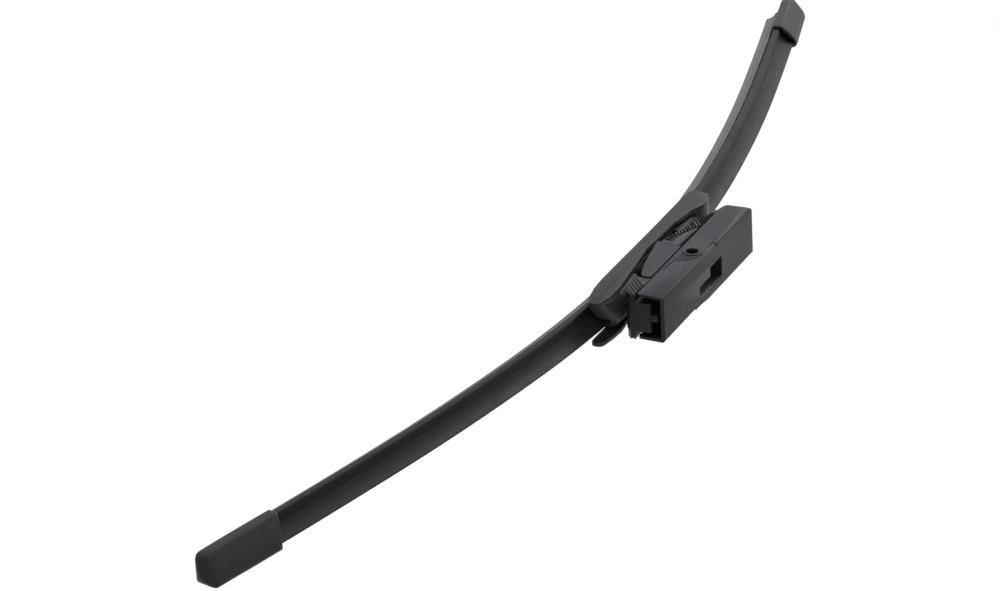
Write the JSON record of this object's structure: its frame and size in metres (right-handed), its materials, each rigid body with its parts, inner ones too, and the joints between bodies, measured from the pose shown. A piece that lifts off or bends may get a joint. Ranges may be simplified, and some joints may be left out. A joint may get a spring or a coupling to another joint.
{
  "type": "wiper_blade",
  "caption": "Flat windscreen wiper blade with a one-piece rubber lip, spring rails, spoilers, end caps and a swinging clip-on arm adapter.",
  "frame": {"origin": "middle of the pivot's axis, in the middle of the blade's width", "axes": "+X along the blade towards the adapter's open end, +Y towards the rear side of the spoiler, +Z away from the glass"},
  "size_m": [0.592, 0.022, 0.0824],
  "materials": {
    "wiping_rubber": "dusted wiping rubber, dull grey",
    "spoiler_rubber": "smooth extruded rubber, satin",
    "cap_plastic": "finely grained moulded plastic",
    "bracket_plastic": "finely grained moulded plastic",
    "adapter_plastic": "finely grained moulded plastic",
    "latch_plastic": "smooth moulded plastic",
    "spring_steel": "bare spring steel",
    "saddle_steel": "black coated sheet steel",
    "pin_steel": "black coated steel tube"
  },
  "bodies": {
    "adapter": {"adapter_housing": "adapter_plastic", "adapter_core": "adapter_plastic"},
    "blade": {"wiping_rubber": "wiping_rubber", "front_rail": "spring_steel", "rear_rail": "spring_steel", "inboard_spoiler": "spoiler_rubber", "outboard_spoiler": "spoiler_rubber", "inboard_end_cap": "cap_plastic", "outboard_end_cap": "cap_plastic", "rail_saddle": "saddle_steel", "bracket_cover": "bracket_plastic", "pivot_pin": "pin_steel"},
    "latch": {"arm_latch": "latch_plastic"},
    "lever": {"release_lever": "adapter_plastic"}
  },
  "joints": [
    {"name": "blade_pivot", "type": "hinge", "parent": "adapter", "child": "blade", "pos_m": [0, 0, 0], "axis": [0, 1, 0], "range_deg": [-2, 9]},
    {"name": "latch_press", "type": "hinge", "parent": "adapter", "child": "latch", "pos_m": [0.0145, 0, -0.0086], "axis": [0, 1, 0], "range_deg": [0, 2], "stiffness_Nm_per_rad": 0.3},
    {"name": "lever_press", "type": "hinge", "parent": "adapter", "child": "lever", "pos_m": [-0.0402, 0, -0.0032], "axis": [0, 1, 0], "range_deg": [-2, 0], "stiffness_Nm_per_rad": 0.2}
  ]
}
